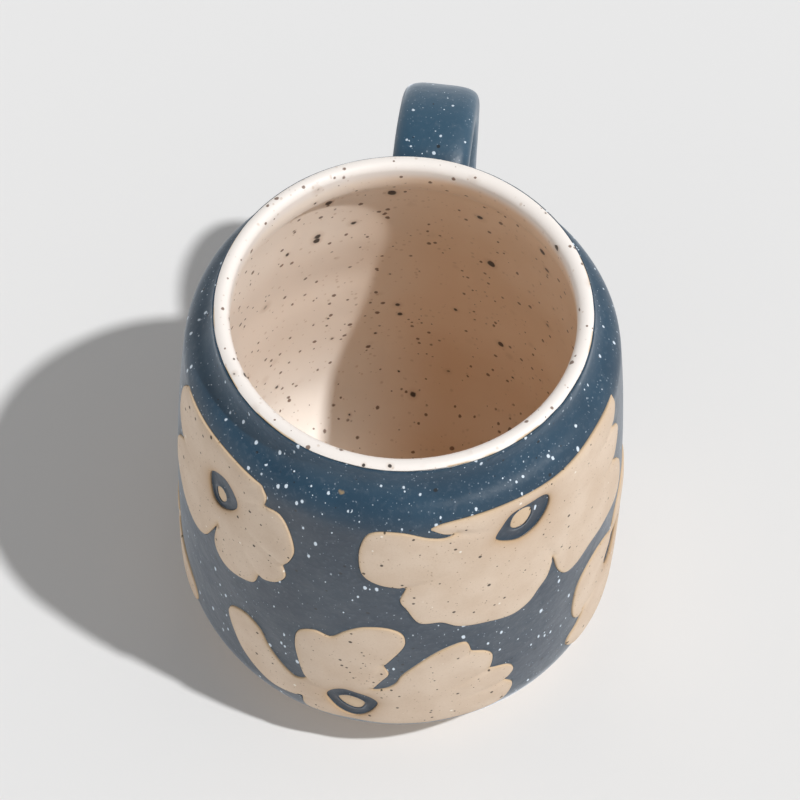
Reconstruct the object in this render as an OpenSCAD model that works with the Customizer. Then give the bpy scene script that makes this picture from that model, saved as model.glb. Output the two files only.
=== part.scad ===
// Stoneware mug: rounded barrel body with a straight collar, a strap handle,
// two glazes, and raised bare-clay poppies. Millimetres, +Z up.
// Origin: on the body's axis, in the plane that the foot ring stands on.
// The handle points along +X.

/* [Body] */
// Height from the table to the top of the lip
height = 106.2; // [98:0.2:112]
// Radius of the lip, outside
lip_r = 39; // [37:0.5:40]
// Largest radius of the barrel
belly_r = 48.4; // [47:0.2:50]
// Height of the largest radius
belly_z = 34; // [32:1:36]
// Radius of the barrel's long side curve
side_curve = 520; // [450:10:600]
// Radius of the curve from the side to the base
base_curve = 16.5; // [16:0.5:17]
// Radius of the shoulder
shoulder_curve = 7; // [6:0.5:7.5]
// Radius of the hollow between shoulder and collar
neck_curve = 6; // [5:0.5:6.5]
// Wall thickness at the side
wall = 6; // [5:0.1:6.5]
// Wall thickness at the lip
lip_wall = 3.6; // [3.4:0.1:4]
// Thickness of the floor above the hollow under the base
floor_wall = 7; // [5:0.5:8]
// Radius of the curve from the inside wall to the floor
inner_base_curve = 14; // [12:0.5:16]
// Radius of the shoulder inside
inner_shoulder_curve = 5; // [4:0.5:6]

/* [Foot] */
// Outer radius of the foot ring at the table
foot_r = 34.4; // [33:0.2:34.6]
// Width of the ring's flat
foot_w = 3.6; // [3:0.2:5]
// Height of the hollow under the base
foot_h = 3; // [2:0.2:3]

/* [Glaze] */
// Thickness of each coat of glaze
glaze = 0.4; // [0.3:0.05:0.5]
// Height of the blue coat's lower edge
blue_low = 10; // [9:0.5:11]
// Angle up round the lip where the blue coat meets the cream one
blue_up = 33; // [25:1:40]

/* [Handle] */
// Width of the strap
strap_w = 16.8; // [15:0.2:18]
// Thickness of the strap
strap_t = 9; // [8:0.2:10]
// Corner radius of the strap's section
strap_corner = 3.4; // [2.5:0.1:3.8]
// Outer radius of the handle's upper bend
bend_top = 22; // [21:0.5:23]
// Outer radius of the handle's lower bend
bend_low = 30; // [28:0.5:31]
// Distance of the upper bend's centre from the body's axis
bend_x = 56.7; // [56:0.1:58]
// Height of the upper bend's centre
bend_z = 72.5; // [71:0.5:73]
// Height between the centres of the two bends
bend_gap = 15.5; // [14:0.5:17]
// Thickness of the slip that joins each end to the body
slip = 0.7; // [0.5:0.1:1]

/* [Poppies] */
// Height of the petals above the blue glaze
relief = 0.7; // [0.5:0.1:0.9]
// Height of the glazed centres above the blue glaze
centre_relief = 0.1; // [0.05:0.05:0.3]
// Height of the clay dots above the blue glaze
dot_relief = 0.5; // [0.3:0.1:0.6]

/* [Hidden] */
$fn = 96;

clay = "tan";
cream = "linen";
blue = "steelblue";
slip_colour = "sienna";

// Points per curve, and steps between an outline's points
side_steps = 12;
bend_steps = 8;
corner_steps = 4;
outline_steps = 3;

// Angles of the wall's arcs, measured up from the horizontal
side_start = -1.68;
side_end = 6.4;
base_start = -68;

// Centres of the wall's arcs, in the plane of [radius, height]
function polar(r, a) = [r * cos(a), r * sin(a)];
side_c = [belly_r - side_curve, belly_z];
base_c = side_c + polar(side_curve - base_curve, side_start);
shoulder_c = side_c + polar(side_curve - shoulder_curve, side_end);
neck_r = lip_r + neck_curve;
shoulder_end = acos((neck_r - shoulder_c[0]) / (shoulder_curve + neck_curve));
neck_c = shoulder_c + polar(shoulder_curve + neck_curve, shoulder_end);

// Angle on the base curve where the blue coat starts
glaze_start = -asin((base_c[1] - blue_low) / base_curve);

// Inner radius of the foot ring, the bevel at its edges and the lean of its sides
foot_in = foot_r - foot_w;
foot_bevel = 0.6;
foot_lean = 0.4;

// Middle of the lip's rounding
lip_c = [lip_r - lip_wall / 2, height - lip_wall / 2];

// Inside arcs: each centre is set so that its arc runs smoothly into the side's
floor_z = foot_h + floor_wall;
inner_side_r = side_curve - wall;
inner_base_a = asin((floor_z + inner_base_curve - belly_z) / (inner_side_r - inner_base_curve));
inner_base_c = side_c + polar(inner_side_r - inner_base_curve, inner_base_a);
inner_neck_r = neck_curve + lip_wall;
to_neck = neck_c - side_c;
inner_shoulder_far = inner_side_r - inner_shoulder_curve;
inner_shoulder_gap = inner_shoulder_curve + inner_neck_r;
inner_shoulder_turn = acos(
    (inner_shoulder_far ^ 2 + norm(to_neck) ^ 2 - inner_shoulder_gap ^ 2)
    / (2 * inner_shoulder_far * norm(to_neck))
);
inner_shoulder_a = atan2(to_neck[1], to_neck[0]) - inner_shoulder_turn;
inner_shoulder_c = side_c + polar(inner_shoulder_far, inner_shoulder_a);
inner_neck_a = atan2(neck_c[1] - inner_shoulder_c[1], neck_c[0] - inner_shoulder_c[0]);

// Height of the handle's middle
handle_mid_z = 60;
// Angles that the bends turn through, to ends that lie inside the wall
strap_end_top = 160;
strap_end_low = 104;

function arc(c, r, from, to, steps) =
    [for (i = [0:steps]) c + polar(r, from + (to - from) * i / steps)];

// Arc without its first point, to follow on from another arc
function arc_on(c, r, from, to, steps) =
    [for (i = [1:steps]) c + polar(r, from + (to - from) * i / steps)];

// Outside line, d above the glazed surface, from angle base_from on the base curve to the neck
function outside(d, base_from) = concat(
    arc(base_c, base_curve + d, base_from, side_start, bend_steps),
    arc_on(side_c, side_curve + d, side_start, side_end, side_steps),
    arc_on(shoulder_c, shoulder_curve + d, side_end, shoulder_end, bend_steps),
    arc_on(neck_c, d - neck_curve, shoulder_end, 0, bend_steps)
);

// Lip line, d below the glazed surface, between two angles up from the outside
function lip(d, from, to) = arc(lip_c, lip_wall / 2 - d, from, to, bend_steps);

function reversed(points) = [for (i = [len(points) - 1:-1:0]) points[i]];

// Inside line, d behind the cream surface, from the neck to the centre of the floor
function inside(d) = concat(
    arc(neck_c, d - inner_neck_r, 0, inner_neck_a, bend_steps),
    arc_on(inner_shoulder_c, inner_shoulder_curve + d, inner_neck_a, inner_shoulder_a, bend_steps),
    arc_on(side_c, inner_side_r + d, inner_shoulder_a, inner_base_a, side_steps),
    arc_on(inner_base_c, inner_base_curve + d, inner_base_a, -90, bend_steps),
    [[0, floor_z - d]]
);

// --- outlines of the poppies -------------------------------------------------
// Each outline is seen from outside, in the plane that touches the body at the
// poppy's angle: [across, height], or [across, height, 1] for a sharp corner.

tall_petals = [
    [-21, 81], [-19.5, 88.5], [-16.5, 93, 1], [-8, 93.6], [2, 94], [12, 93.4, 1], [13.6, 91],
    [13.2, 87.6, 1], [16.8, 88], [19.2, 84.5], [20.8, 78.5], [20.2, 74], [18.8, 71, 1],
    [19.6, 67.5], [18, 64], [15.4, 62], [13.2, 61.7, 1], [12.2, 57.8], [8, 55.4], [4, 55],
    [1, 57.2], [0, 61], [1, 67.5, 1], [-1.4, 61.5], [-4, 56.6], [-8.2, 55], [-13.4, 56.2],
    [-18.2, 59], [-21.5, 63], [-21, 69], [-16.2, 75, 1], [-19.4, 77.2]
];
tall_centre = [
    [-3, 81.4], [-1, 84], [2.5, 85.2], [5.6, 83], [6.5, 80], [4.8, 76.6], [1.6, 74],
    [-1.2, 74.2], [-2.8, 77.6]
];
tall_dot = [[-0.8, 78.4], [0.8, 79.8], [2.2, 79], [2.4, 77], [1.2, 75.4], [-0.2, 76]];

wide_petals = [
    [-31.4, 80], [-31, 86.5], [-29, 91.8], [-24, 92.4], [-19.4, 90.4], [-16.4, 89.8],
    [-13.8, 90.6, 1], [-16.6, 91.3], [-19, 93, 1], [-15.5, 94.2], [-4, 94.5], [10, 94],
    [22, 94.6], [29.6, 94.4, 1], [29.6, 90], [28, 86.8, 1], [31, 83.4], [31.2, 79.5],
    [29, 74.3, 1], [32.2, 69.5], [33.3, 64], [33, 59.6], [31, 57], [26.4, 57.8], [20, 57.8],
    [15, 56.2], [11.8, 57], [9.6, 61], [8.2, 67.5, 1], [6.8, 62], [4.4, 59], [2, 56],
    [-2, 54.4], [-8, 55.4], [-14, 57], [-17.6, 59.8], [-21.8, 60.4], [-24, 65.6],
    [-25.1, 69], [-23.8, 73.4, 1], [-28, 74.2], [-30.6, 76.4]
];
wide_centre = [
    [-6, 85], [-4.6, 88], [-2.2, 91], [1.8, 91.5], [5.8, 91.3], [7.3, 88.8], [6.4, 85.4],
    [3.6, 82.3], [-0.4, 81.1], [-4.2, 82.8]
];
wide_dot = [
    [-2.3, 86.4], [-1.4, 89.2], [0.6, 90.2], [2.5, 89.3], [2.7, 87], [1, 84.8], [-1.2, 84.8]
];

low_petals = [
    [-29.8, 40.4], [-26.5, 42.4], [-23.2, 40.4], [-21.2, 35.5], [-18.4, 31], [-15, 27.8],
    [-12.4, 29.2, 1], [-14, 36], [-14.8, 43], [-14, 48.6], [-10.4, 51.5], [-6.8, 51],
    [-3.6, 54.6], [0, 57.3], [4.6, 58], [8, 56.2], [9, 52.5], [8, 48.8], [4.6, 42.2, 1],
    [5.8, 39], [4.4, 36], [2.1, 31.2, 1], [5.4, 32.6], [7.4, 35], [8.6, 38.4], [11.6, 42.8],
    [15, 46.8], [18.4, 49.1], [21.4, 49.4], [22.6, 45, 1], [25.4, 43.2], [27, 40],
    [26.6, 34.5, 1], [30, 33], [31.4, 29.6], [29.8, 26, 1], [31.5, 22.6], [30, 18],
    [26, 16.2], [18, 15.6], [8, 15.4], [-2, 15.4], [-9, 15.6], [-12.6, 16.4], [-13.4, 19.8, 1],
    [-17.6, 18.8], [-22, 19.4], [-27, 24], [-30, 31], [-31, 36.6]
];
low_centre = [
    [-7.8, 25], [-6.5, 27.7], [-4, 29.3], [-1, 28.7], [2, 27.4], [3.6, 25], [2.6, 21.4],
    [0.4, 18.2], [-2, 17.2], [-5, 19], [-7.2, 22.3]
];
low_dot = [[-5.2, 24], [-3.4, 25.5], [-1, 25.1], [0.7, 23.4], [-0.1, 20.9], [-1.8, 20.4], [-4, 21.8]];

spread_petals = [
    [-26.8, 31, 1], [-28.8, 29.6], [-30.3, 32.5], [-30.8, 38], [-30, 44.6], [-27.6, 48.4],
    [-23.8, 50], [-19.6, 48.6], [-16, 45.5, 1], [-13, 50.5], [-6, 53.8], [1.5, 52.4],
    [4.6, 47], [3, 41, 1], [9, 46.4], [16, 49.4], [22, 47.4], [25, 42], [23.6, 37.8, 1],
    [27.6, 35.4], [29, 30], [27, 25.8, 1], [29, 21.6], [26, 16.2], [18, 14], [6, 13.6],
    [-8, 13.6], [-20, 14], [-27, 16.4], [-30.8, 20.4], [-31, 23.6], [-28.6, 26.4]
];
spread_centre = [
    [-18.6, 37.6], [-16.8, 40.6], [-13.4, 42.2], [-10, 40], [-9, 36], [-10.8, 32.2],
    [-14.4, 31], [-17.6, 33.4]
];
spread_dot = [[-15.6, 36.8], [-13.8, 38.6], [-12, 37.6], [-12, 35], [-13.8, 33.8], [-15.4, 34.8]];

side_petals = [
    [-31, 36], [-29.8, 41], [-26.4, 43], [-22, 40.4], [-19, 34], [-16, 30, 1], [-17, 40],
    [-15, 48.4], [-9, 52.4], [-2, 52.6], [3, 49], [4, 43], [1.4, 37.6], [-1, 33, 1],
    [6, 35.8], [13, 35.2], [16.6, 31.8], [16, 28.4, 1], [22, 28.6], [27.4, 27.6], [31, 24],
    [31, 18.4], [27, 14.8], [18, 13.8], [5, 13.6], [-8, 14], [-14, 15.6], [-15, 19.6, 1],
    [-20, 18.6], [-26, 21], [-30, 28]
];
side_centre = [
    [-7.8, 26], [-6, 28.8], [-2.6, 30], [1, 28.6], [3.4, 25.6], [2.4, 21.6], [-0.6, 18.6],
    [-4, 19], [-7, 22]
];
side_dot = [[-4.8, 24.6], [-3, 26.4], [-0.6, 25.6], [0.4, 23.4], [-1, 21.4], [-3.4, 21.8]];

// Each poppy: angle round the body, side (-1 turns the outline over), outlines, lift
front_left = [132.6, 1, tall_petals, tall_centre, tall_dot, 0];
front_right = [218.6, 1, wide_petals, wide_centre, wide_dot, 0];
front_low = [177.6, 1, low_petals, low_centre, low_dot, 0];
right_low = [276.6, 1, spread_petals, spread_centre, spread_dot, 0];
left_low = [80.6, 1, side_petals, side_centre, side_dot, 0];
back_left = [50, 1, tall_petals, tall_centre, tall_dot, -6];
back_right = [317, -1, tall_petals, tall_centre, tall_dot, -6];
poppies = [front_left, front_right, front_low, right_low, left_low, back_left, back_right];

// Smooth closed curve through an outline's points, with its corners kept sharp
function flat(p) = [p[0], p[1]];
function near(p, i) = p[(i + len(p)) % len(p)];
function slope_at(p, i) =
    len(near(p, i)) == 3 ? [0, 0] : (flat(near(p, i + 1)) - flat(near(p, i - 1))) / 2;
function between(a, b, a_slope, b_slope, t) =
    a * (2 * t ^ 3 - 3 * t ^ 2 + 1) + a_slope * (t ^ 3 - 2 * t ^ 2 + t)
    + b * (3 * t ^ 2 - 2 * t ^ 3) + b_slope * (t ^ 3 - t ^ 2);
function smooth(p) = [
    for (i = [0:len(p) - 1], k = [0:outline_steps - 1])
        between(flat(p[i]), flat(near(p, i + 1)), slope_at(p, i), slope_at(p, i + 1), k / outline_steps)
];

// --- shared solids -----------------------------------------------------------

// Shell round the body, from the offset low to the offset high
module shell(low, high) {
    rotate_extrude()
        polygon(concat(outside(high, base_start), reversed(outside(low, base_start))));
}

// Everything inside the wall line that is offset outward by d
module filled(d) {
    rotate_extrude()
        polygon(concat([[0, 0]], outside(d, base_start), [[0, neck_c[1]]]));
}

// Bar with a poppy's outline, through the wall at the poppy's angle
module outline_bar(poppy, outline) {
    rotate([0, 0, poppy[0]])
        translate([belly_r / 2, 0, poppy[5]])
            scale([1, poppy[1], 1])
                rotate([90, 0, 90])
                    linear_extrude(height = belly_r)
                        polygon(smooth(poppy[outline]));
}

// Section of the strap, d inside its glazed surface, r from the bend's centre to its back
module strap_section(r, d) {
    w = strap_w / 2 - strap_corner;
    t = strap_t / 2 - strap_corner;
    c = strap_corner - d;
    translate([r - strap_t / 2, 0])
        polygon(concat(
            arc([t, w], c, 0, 90, corner_steps), arc([-t, w], c, 90, 180, corner_steps),
            arc([-t, -w], c, 180, 270, corner_steps), arc([t, -w], c, 270, 360, corner_steps)
        ));
}

// Bend of the strap round the point [x, z], from the vertical straight up or down
module strap_bend(x, z, r, angle, down, d) {
    translate([x, 0, z])
        rotate([90, 0, 0])
            mirror([0, down ? 1 : 0, 0])
                rotate_extrude(angle = angle)
                    strap_section(r, d);
}

// Whole strap, d inside its glazed surface, running on into the body at both ends
module strap(d) {
    strap_bend(bend_x, bend_z, bend_top, strap_end_top, false, d);
    translate([bend_x + bend_top - bend_low, 0, bend_z - bend_gap]) {
        linear_extrude(height = bend_gap)
            strap_section(bend_low, d);
        strap_bend(0, 0, bend_low, strap_end_low, true, d);
    }
}

module poppy(flower) {
    difference() {
        intersection() {
            shell(-glaze, relief);
            outline_bar(flower, 2);
        }
        outline_bar(flower, 3);
    }
}

module slip_joint() {
    intersection() {
        shell(-glaze, slip - glaze);
        strap(glaze);
    }
}

// --- sub-parts ---------------------------------------------------------------

// Fired clay: foot ring, base, wall and lip
module body() {
    foot = [
        [0, foot_h], [foot_in - foot_lean - foot_bevel, foot_h],
        [foot_in - foot_lean, foot_h - foot_bevel], [foot_in, foot_bevel],
        [foot_in + foot_bevel, 0], [foot_r - foot_bevel, 0], [foot_r, foot_bevel],
        [foot_r + foot_bevel, foot_h + foot_lean]
    ];
    color(clay)
        rotate_extrude()
            polygon(concat(foot, outside(-glaze, base_start), lip(glaze, 0, 180), inside(glaze)));
}

module handle() {
    color(clay)
        difference() {
            strap(glaze);
            filled(slip - glaze);
        }
}

module slip_joint_upper() {
    color(slip_colour)
        intersection() {
            slip_joint();
            translate([0, -strap_w, handle_mid_z])
                cube([2 * belly_r, 2 * strap_w, height]);
        }
}

module slip_joint_lower() {
    color(slip_colour)
        intersection() {
            slip_joint();
            translate([0, -strap_w, 0])
                cube([2 * belly_r, 2 * strap_w, handle_mid_z]);
        }
}

// Cream coat: the inside, and over the lip to the blue coat
module liner_glaze() {
    front = concat(lip(0, blue_up, 180), inside(0));
    back = concat(lip(glaze, blue_up, 180), inside(glaze));
    color(cream)
        rotate_extrude()
            polygon(concat(front, reversed(back)));
}

// Blue coat, with a window for each poppy and for the slip joints
module wall_glaze() {
    front = concat(outside(0, glaze_start), lip(0, 0, blue_up));
    back = concat(outside(-glaze, glaze_start), lip(glaze, 0, blue_up));
    color(blue)
        difference() {
            rotate_extrude()
                polygon(concat(front, reversed(back)));
            for (flower = poppies)
                outline_bar(flower, 2);
            strap(glaze);
        }
}

module handle_glaze() {
    color(blue)
        difference() {
            strap(0);
            strap(glaze);
            filled(0);
        }
}

// Blue pools in the middle of the poppies
module poppy_centre_glaze() {
    color(blue)
        for (flower = poppies)
            difference() {
                intersection() {
                    shell(-glaze, centre_relief);
                    outline_bar(flower, 3);
                }
                outline_bar(flower, 4);
            }
}

// Clay dots that stand in those pools
module poppy_dots() {
    color(clay)
        for (flower = poppies)
            intersection() {
                shell(-glaze, dot_relief);
                outline_bar(flower, 4);
            }
}

body();
handle();
slip_joint_upper();
slip_joint_lower();
liner_glaze();
wall_glaze();
handle_glaze();
color(clay) poppy(front_left);  // poppy_front_left
color(clay) poppy(front_right);  // poppy_front_right
color(clay) poppy(front_low);  // poppy_front_low
color(clay) poppy(right_low);  // poppy_right_low
color(clay) poppy(left_low);  // poppy_left_low
color(clay) poppy(back_left);  // poppy_back_left
color(clay) poppy(back_right);  // poppy_back_right
poppy_centre_glaze();
poppy_dots();
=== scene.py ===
"""Looks for the stoneware mug: hand-thrown clay, speckled glazes and raised poppies.

Lengths are in millimetres and are turned to metres as each mesh is made. The frame's
origin is on the body's axis, in the plane of the foot, with +X towards the handle.
"""

import math

import bmesh
import bpy
import numpy as np
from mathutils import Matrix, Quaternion, Vector, noise


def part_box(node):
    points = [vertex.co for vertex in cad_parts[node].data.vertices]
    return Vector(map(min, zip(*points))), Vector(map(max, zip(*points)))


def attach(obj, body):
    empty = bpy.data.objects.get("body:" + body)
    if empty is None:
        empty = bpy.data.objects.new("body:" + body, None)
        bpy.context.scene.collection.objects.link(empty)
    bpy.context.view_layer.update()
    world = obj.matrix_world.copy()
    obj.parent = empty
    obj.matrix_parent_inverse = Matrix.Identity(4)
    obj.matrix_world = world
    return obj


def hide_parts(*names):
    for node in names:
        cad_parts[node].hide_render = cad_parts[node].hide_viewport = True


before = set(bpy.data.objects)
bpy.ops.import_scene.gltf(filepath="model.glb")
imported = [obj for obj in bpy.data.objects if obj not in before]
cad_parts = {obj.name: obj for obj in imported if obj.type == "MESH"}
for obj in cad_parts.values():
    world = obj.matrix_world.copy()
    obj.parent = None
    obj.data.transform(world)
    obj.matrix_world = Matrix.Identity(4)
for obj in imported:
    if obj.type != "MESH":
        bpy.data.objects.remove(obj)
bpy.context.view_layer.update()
MM = 0.001

# --- sizes, the same as the CAD part's ---------------------------------------

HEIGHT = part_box("liner_glaze")[1].z / MM
BLUE_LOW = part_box("wall_glaze")[0].z / MM
BLUE_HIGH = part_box("wall_glaze")[1].z / MM
HANDLE_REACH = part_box("handle_glaze")[1].x / MM
STRAP_W = 2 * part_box("handle_glaze")[1].y / MM
STRAP_T = 9.0
LIP_R = 39.0
BELLY_R = 48.4
BELLY_Z = 34.0
SIDE_CURVE = 520.0
BASE_CURVE = 16.5
SHOULDER_CURVE = 7.0
NECK_CURVE = 6.0
WALL = 6.0
LIP_WALL = 3.6
FLOOR_Z = 10.0
INNER_BASE_CURVE = 14.0
INNER_SHOULDER_CURVE = 5.0
BLUE_UP = 33.0
GLAZE = 0.4
FOOT_R = 34.4
FOOT_W = 3.6
FOOT_H = 3.0
BEND_TOP = 22.0
BEND_LOW = 30.0
BEND_Z = 72.5
BEND_GAP = 15.5

SIDE_START = -1.68
SIDE_END = 6.4
BASE_START = -68.0

# --- the wall's line, as [radius, height] ------------------------------------


def polar(radius, degrees):
    a = np.radians(degrees)
    return np.stack([radius * np.cos(a), radius * np.sin(a)], -1)


def arc(centre, radius, start, end, step):
    count = max(6, math.ceil(abs(math.radians(end - start)) * abs(radius) / step))
    return centre + polar(radius, np.linspace(start, end, count + 1))


SIDE_C = np.array([BELLY_R - SIDE_CURVE, BELLY_Z])
BASE_C = SIDE_C + polar(SIDE_CURVE - BASE_CURVE, SIDE_START)
SHOULDER_C = SIDE_C + polar(SIDE_CURVE - SHOULDER_CURVE, SIDE_END)
SHOULDER_END = math.degrees(
    math.acos((LIP_R + NECK_CURVE - SHOULDER_C[0]) / (SHOULDER_CURVE + NECK_CURVE)))
NECK_C = SHOULDER_C + polar(SHOULDER_CURVE + NECK_CURVE, SHOULDER_END)
LIP_C = np.array([LIP_R - LIP_WALL / 2, HEIGHT - LIP_WALL / 2])


def wall_line(offset, step):
    """Outside line from the base up to the neck, offset outward from the glazed surface."""
    return np.concatenate([
        arc(BASE_C, BASE_CURVE + offset, BASE_START, SIDE_START, step)[:-1],
        arc(SIDE_C, SIDE_CURVE + offset, SIDE_START, SIDE_END, step)[:-1],
        arc(SHOULDER_C, SHOULDER_CURVE + offset, SIDE_END, SHOULDER_END, step)[:-1],
        arc(NECK_C, offset - NECK_CURVE, SHOULDER_END, 0, step),
    ])


def lip_line(depth, start, end, step):
    """Lip from the outside to the inside, a depth below its glazed surface."""
    return arc(LIP_C, LIP_WALL / 2 - depth, start, end, step)


def inner_line(depth, step):
    """Inside line from the neck to near the middle of the floor, a depth behind the glaze."""
    side_r = SIDE_CURVE - WALL
    base_far = side_r - INNER_BASE_CURVE
    base_a = math.degrees(math.asin((FLOOR_Z + INNER_BASE_CURVE - BELLY_Z) / base_far))
    neck_r = NECK_CURVE + LIP_WALL
    neck = NECK_C - SIDE_C
    far, gap = side_r - INNER_SHOULDER_CURVE, INNER_SHOULDER_CURVE + neck_r
    turn = math.acos((far**2 + neck @ neck - gap**2) / (2 * far * math.hypot(*neck)))
    shoulder_a = math.degrees(math.atan2(neck[1], neck[0]) - turn)
    shoulder_c = SIDE_C + polar(far, shoulder_a)
    neck_a = math.degrees(math.atan2(*(NECK_C - shoulder_c)[::-1]))
    return np.concatenate([
        arc(NECK_C, depth - neck_r, 0, neck_a, step)[:-1],
        arc(shoulder_c, INNER_SHOULDER_CURVE + depth, neck_a, shoulder_a, step)[:-1],
        arc(SIDE_C, side_r + depth, shoulder_a, base_a, step)[:-1],
        arc(SIDE_C + polar(base_far, base_a), INNER_BASE_CURVE + depth, base_a, -89.5, step),
        np.linspace([28, FLOOR_Z - depth], [1, FLOOR_Z - depth], 16),
    ])


def line_length(line):
    return np.concatenate([[0], np.cumsum(np.linalg.norm(np.diff(line, axis=0), axis=1))])


def line_normals(line):
    along = np.gradient(line, axis=0)
    along /= np.linalg.norm(along, axis=1)[:, None]
    return np.stack([along[:, 1], -along[:, 0]], -1)


# The glazed outside surface, and the distance up along it that places things on it
OUTSIDE = np.concatenate([wall_line(0, 0.25), lip_line(0, 0, 60, 0.1)])
OUTSIDE_UP = line_length(OUTSIDE)
OUTSIDE_N = line_normals(OUTSIDE)
UNROLL_R = 47.0


def up_of(z):
    return np.interp(z, OUTSIDE[:, 1], OUTSIDE_UP)


def on_wall(across, up, height):
    """Points at a height above the glazed surface; across is the angle times UNROLL_R."""
    r, z, nr, nz = (np.interp(up, OUTSIDE_UP, c) for c in (*OUTSIDE.T, *OUTSIDE_N.T))
    angle = across / UNROLL_R
    r = r + height * nr
    return np.stack([r * np.cos(angle), r * np.sin(angle), z + height * nz], -1)


# --- poppies -----------------------------------------------------------------
# Outlines as the CAD part has them: seen from outside, in the plane that touches the
# body at the poppy's angle, [across, height], or [across, height, 1] at a sharp corner.

TALL_PETALS = [
    [-21, 81], [-19.5, 88.5], [-16.5, 93, 1], [-8, 93.6], [2, 94], [12, 93.4, 1], [13.6, 91],
    [13.2, 87.6, 1], [16.8, 88], [19.2, 84.5], [20.8, 78.5], [20.2, 74], [18.8, 71, 1],
    [19.6, 67.5], [18, 64], [15.4, 62], [13.2, 61.7, 1], [12.2, 57.8], [8, 55.4], [4, 55],
    [1, 57.2], [0, 61], [1, 67.5, 1], [-1.4, 61.5], [-4, 56.6], [-8.2, 55], [-13.4, 56.2],
    [-18.2, 59], [-21.5, 63], [-21, 69], [-16.2, 75, 1], [-19.4, 77.2],
]
TALL_CENTRE = [
    [-3, 81.4], [-1, 84], [2.5, 85.2], [5.6, 83], [6.5, 80], [4.8, 76.6], [1.6, 74],
    [-1.2, 74.2], [-2.8, 77.6],
]
TALL_DOT = [[-0.8, 78.4], [0.8, 79.8], [2.2, 79], [2.4, 77], [1.2, 75.4], [-0.2, 76]]

WIDE_PETALS = [
    [-31.4, 80], [-31, 86.5], [-29, 91.8], [-24, 92.4], [-19.4, 90.4], [-16.4, 89.8],
    [-13.8, 90.6, 1], [-16.6, 91.3], [-19, 93, 1], [-15.5, 94.2], [-4, 94.5], [10, 94],
    [22, 94.6], [29.6, 94.4, 1], [29.6, 90], [28, 86.8, 1], [31, 83.4], [31.2, 79.5],
    [29, 74.3, 1], [32.2, 69.5], [33.3, 64], [33, 59.6], [31, 57], [26.4, 57.8], [20, 57.8],
    [15, 56.2], [11.8, 57], [9.6, 61], [8.2, 67.5, 1], [6.8, 62], [4.4, 59], [2, 56],
    [-2, 54.4], [-8, 55.4], [-14, 57], [-17.6, 59.8], [-21.8, 60.4], [-24, 65.6],
    [-25.1, 69], [-23.8, 73.4, 1], [-28, 74.2], [-30.6, 76.4],
]
WIDE_CENTRE = [
    [-6, 85], [-4.6, 88], [-2.2, 91], [1.8, 91.5], [5.8, 91.3], [7.3, 88.8], [6.4, 85.4],
    [3.6, 82.3], [-0.4, 81.1], [-4.2, 82.8],
]
WIDE_DOT = [
    [-2.3, 86.4], [-1.4, 89.2], [0.6, 90.2], [2.5, 89.3], [2.7, 87], [1, 84.8], [-1.2, 84.8],
]

LOW_PETALS = [
    [-29.8, 40.4], [-26.5, 42.4], [-23.2, 40.4], [-21.2, 35.5], [-18.4, 31], [-15, 27.8],
    [-12.4, 29.2, 1], [-14, 36], [-14.8, 43], [-14, 48.6], [-10.4, 51.5], [-6.8, 51],
    [-3.6, 54.6], [0, 57.3], [4.6, 58], [8, 56.2], [9, 52.5], [8, 48.8], [4.6, 42.2, 1],
    [5.8, 39], [4.4, 36], [2.1, 31.2, 1], [5.4, 32.6], [7.4, 35], [8.6, 38.4], [11.6, 42.8],
    [15, 46.8], [18.4, 49.1], [21.4, 49.4], [22.6, 45, 1], [25.4, 43.2], [27, 40],
    [26.6, 34.5, 1], [30, 33], [31.4, 29.6], [29.8, 26, 1], [31.5, 22.6], [30, 18],
    [26, 16.2], [18, 15.6], [8, 15.4], [-2, 15.4], [-9, 15.6], [-12.6, 16.4], [-13.4, 19.8, 1],
    [-17.6, 18.8], [-22, 19.4], [-27, 24], [-30, 31], [-31, 36.6],
]
LOW_CENTRE = [
    [-7.8, 25], [-6.5, 27.7], [-4, 29.3], [-1, 28.7], [2, 27.4], [3.6, 25], [2.6, 21.4],
    [0.4, 18.2], [-2, 17.2], [-5, 19], [-7.2, 22.3],
]
LOW_DOT = [
    [-5.2, 24], [-3.4, 25.5], [-1, 25.1], [0.7, 23.4], [-0.1, 20.9], [-1.8, 20.4], [-4, 21.8],
]

SPREAD_PETALS = [
    [-26.8, 31, 1], [-28.8, 29.6], [-30.3, 32.5], [-30.8, 38], [-30, 44.6], [-27.6, 48.4],
    [-23.8, 50], [-19.6, 48.6], [-16, 45.5, 1], [-13, 50.5], [-6, 53.8], [1.5, 52.4],
    [4.6, 47], [3, 41, 1], [9, 46.4], [16, 49.4], [22, 47.4], [25, 42], [23.6, 37.8, 1],
    [27.6, 35.4], [29, 30], [27, 25.8, 1], [29, 21.6], [26, 16.2], [18, 14], [6, 13.6],
    [-8, 13.6], [-20, 14], [-27, 16.4], [-30.8, 20.4], [-31, 23.6], [-28.6, 26.4],
]
SPREAD_CENTRE = [
    [-18.6, 37.6], [-16.8, 40.6], [-13.4, 42.2], [-10, 40], [-9, 36], [-10.8, 32.2],
    [-14.4, 31], [-17.6, 33.4],
]
SPREAD_DOT = [
    [-15.6, 36.8], [-13.8, 38.6], [-12, 37.6], [-12, 35], [-13.8, 33.8], [-15.4, 34.8],
]

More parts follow.
